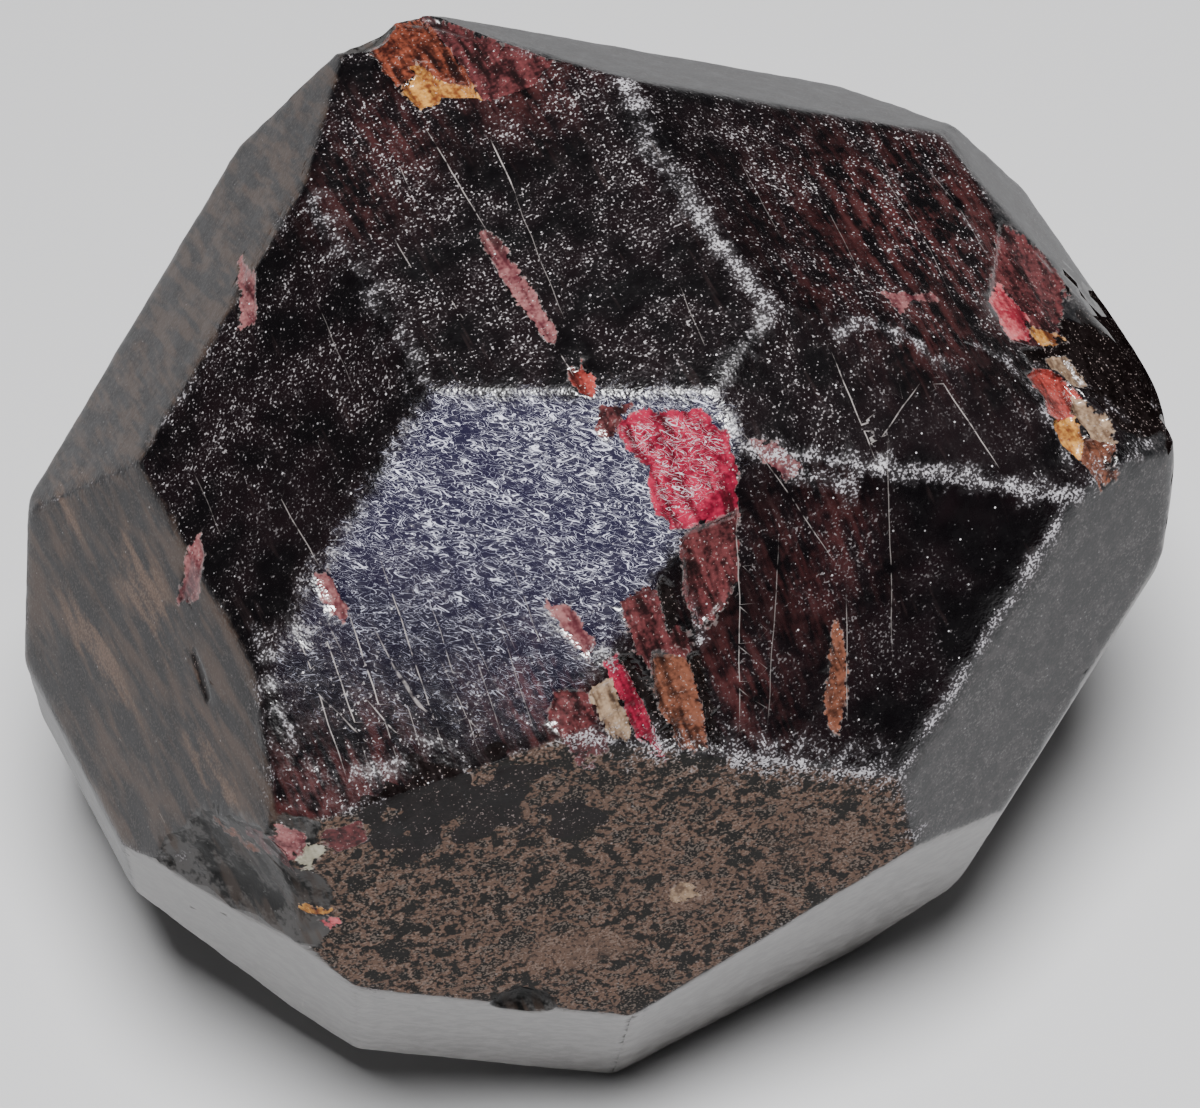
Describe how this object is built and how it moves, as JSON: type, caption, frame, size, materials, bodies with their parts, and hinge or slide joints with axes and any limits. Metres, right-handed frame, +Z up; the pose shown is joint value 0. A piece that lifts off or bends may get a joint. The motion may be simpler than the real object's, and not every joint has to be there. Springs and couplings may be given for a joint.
{
  "type": "garnet crystal",
  "caption": "Loose natural garnet crystal, nearly black, with rhombic and kite-shaped faces, worn edges and red fractures, lying on one face.",
  "frame": {"origin": "under the middle of the crystal's box, on the surface that it lies on", "axes": "+Z up, away from the flat face that it lies on; +X to the right and along its longest side; +Y away from the viewer"},
  "size_m": [0.039, 0.0372, 0.0362],
  "materials": {
    "garnet": "vitreous, etched and worn"
  },
  "bodies": {
    "root": {"garnet_crystal": "garnet"}
  },
  "joints": []
}
